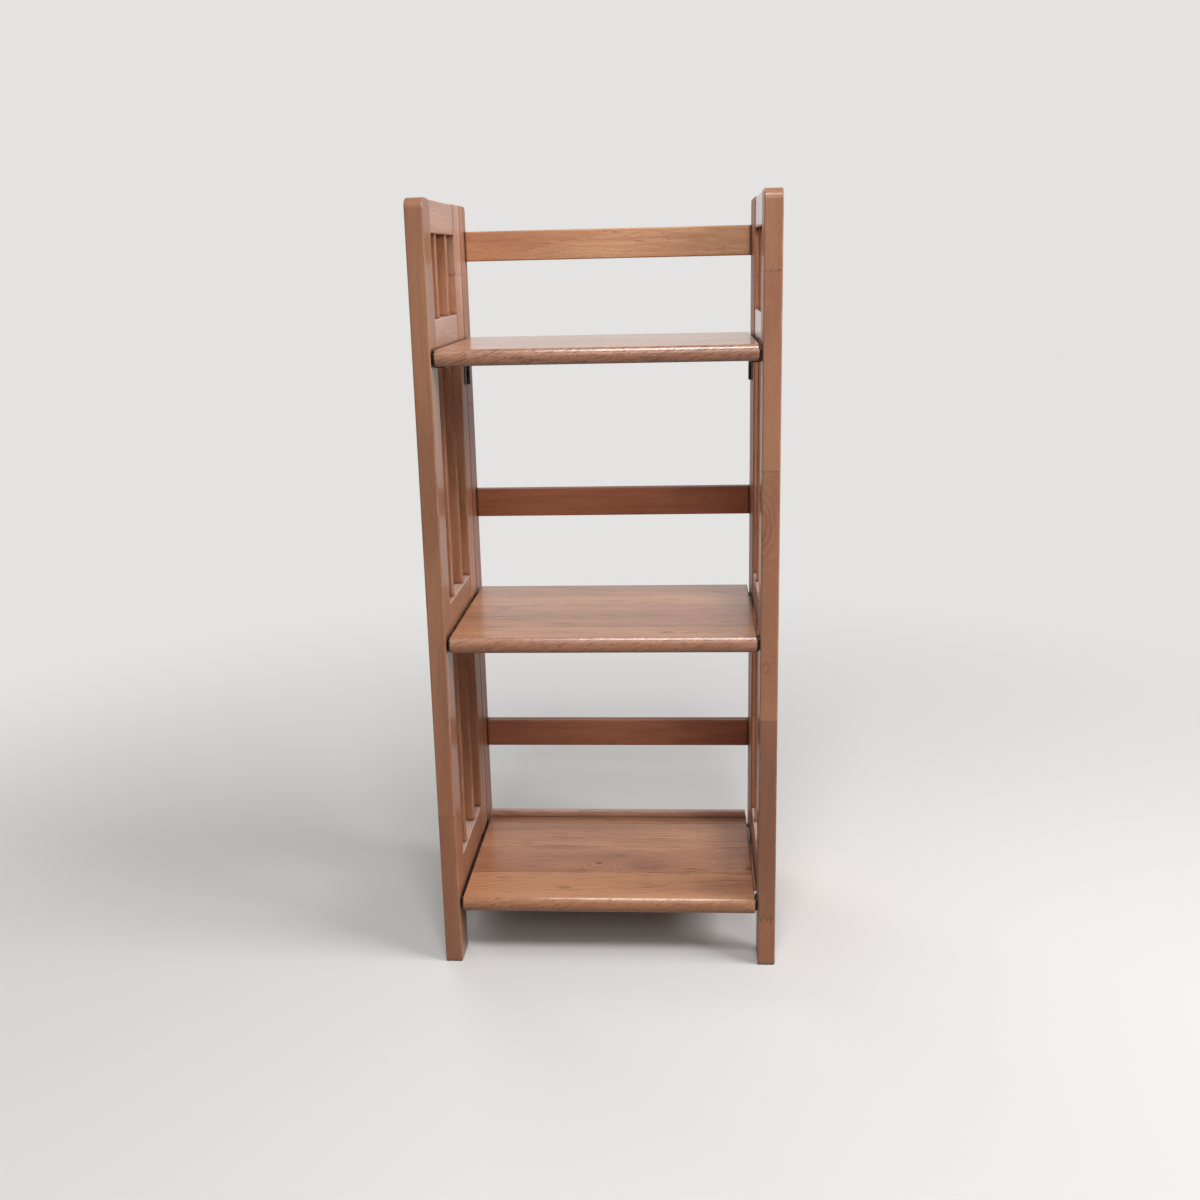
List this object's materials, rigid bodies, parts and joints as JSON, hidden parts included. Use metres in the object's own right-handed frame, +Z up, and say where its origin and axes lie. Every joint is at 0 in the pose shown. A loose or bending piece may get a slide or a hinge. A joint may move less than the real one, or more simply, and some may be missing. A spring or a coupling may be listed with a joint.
{
  "type": "folding bookcase",
  "caption": "Narrow open bookcase with slatted side frames, a railed back and shelves that pivot up at the back so that the hinged sides can fold.",
  "frame": {"origin": "on the floor, at the middle of the footprint of the posts", "axes": "+Z up, +Y towards the back, +X to the right of someone who faces the shelves"},
  "size_m": [0.43, 0.3, 0.964],
  "materials": {
    "frame_wood": "satin lacquer",
    "shelf_wood": "satin lacquer",
    "dark_metal": "aged bronze",
    "bright_steel": "zinc plated"
  },
  "bodies": {
    "frame": {"left_front_post": "frame_wood", "left_rear_post": "frame_wood", "left_back_post": "frame_wood", "left_lower_side_rail": "frame_wood", "left_middle_side_rail": "frame_wood", "left_upper_side_rail": "frame_wood", "left_top_side_rail": "frame_wood", "left_lower_front_slat": "frame_wood", "left_lower_rear_slat": "frame_wood", "left_middle_front_slat": "frame_wood", "left_middle_rear_slat": "frame_wood", "left_upper_front_slat": "frame_wood", "left_upper_rear_slat": "frame_wood", "right_front_post": "frame_wood", "right_rear_post": "frame_wood", "right_back_post": "frame_wood", "right_lower_side_rail": "frame_wood", "right_middle_side_rail": "frame_wood", "right_upper_side_rail": "frame_wood", "right_top_side_rail": "frame_wood", "right_lower_front_slat": "frame_wood", "right_lower_rear_slat": "frame_wood", "right_middle_front_slat": "frame_wood", "right_middle_rear_slat": "frame_wood", "right_upper_front_slat": "frame_wood", "right_upper_rear_slat": "frame_wood", "lower_back_rail": "frame_wood", "middle_back_rail": "frame_wood", "upper_back_rail": "frame_wood", "left_bottom_shelf_bracket": "dark_metal", "left_middle_shelf_bracket": "dark_metal", "left_top_shelf_bracket": "dark_metal", "left_lower_hinge_side_leaf": "dark_metal", "left_lower_hinge_back_leaf": "dark_metal", "left_lower_hinge_pin": "dark_metal", "left_upper_hinge_side_leaf": "dark_metal", "left_upper_hinge_back_leaf": "dark_metal", "left_upper_hinge_pin": "dark_metal", "right_bottom_shelf_bracket": "dark_metal", "right_middle_shelf_bracket": "dark_metal", "right_top_shelf_bracket": "dark_metal", "right_lower_hinge_side_leaf": "dark_metal", "right_lower_hinge_back_leaf": "dark_metal", "right_lower_hinge_pin": "dark_metal", "right_upper_hinge_side_leaf": "dark_metal", "right_upper_hinge_back_leaf": "dark_metal", "right_upper_hinge_pin": "dark_metal", "hinge_screws": "dark_metal", "bracket_screws": "bright_steel"},
    "top_shelf": {"top_shelf": "shelf_wood", "top_shelf_pivot_pins": "bright_steel"},
    "middle_shelf": {"middle_shelf": "shelf_wood", "middle_shelf_pivot_pins": "bright_steel"},
    "bottom_shelf": {"bottom_shelf": "shelf_wood", "bottom_shelf_lip": "shelf_wood", "bottom_shelf_pivot_pins": "bright_steel"}
  },
  "joints": [
    {"name": "top_shelf_lift", "type": "hinge", "parent": "frame", "child": "top_shelf", "pos_m": [0, 0.1065, 0.7825], "axis": [-1, 0, 0], "range_deg": [0, 96]},
    {"name": "middle_shelf_lift", "type": "hinge", "parent": "frame", "child": "middle_shelf", "pos_m": [0, 0.1065, 0.4315], "axis": [-1, 0, 0], "range_deg": [0, 96]},
    {"name": "bottom_shelf_lift", "type": "hinge", "parent": "frame", "child": "bottom_shelf", "pos_m": [0, 0.1065, 0.0805], "axis": [-1, 0, 0], "range_deg": [0, 96]}
  ]
}
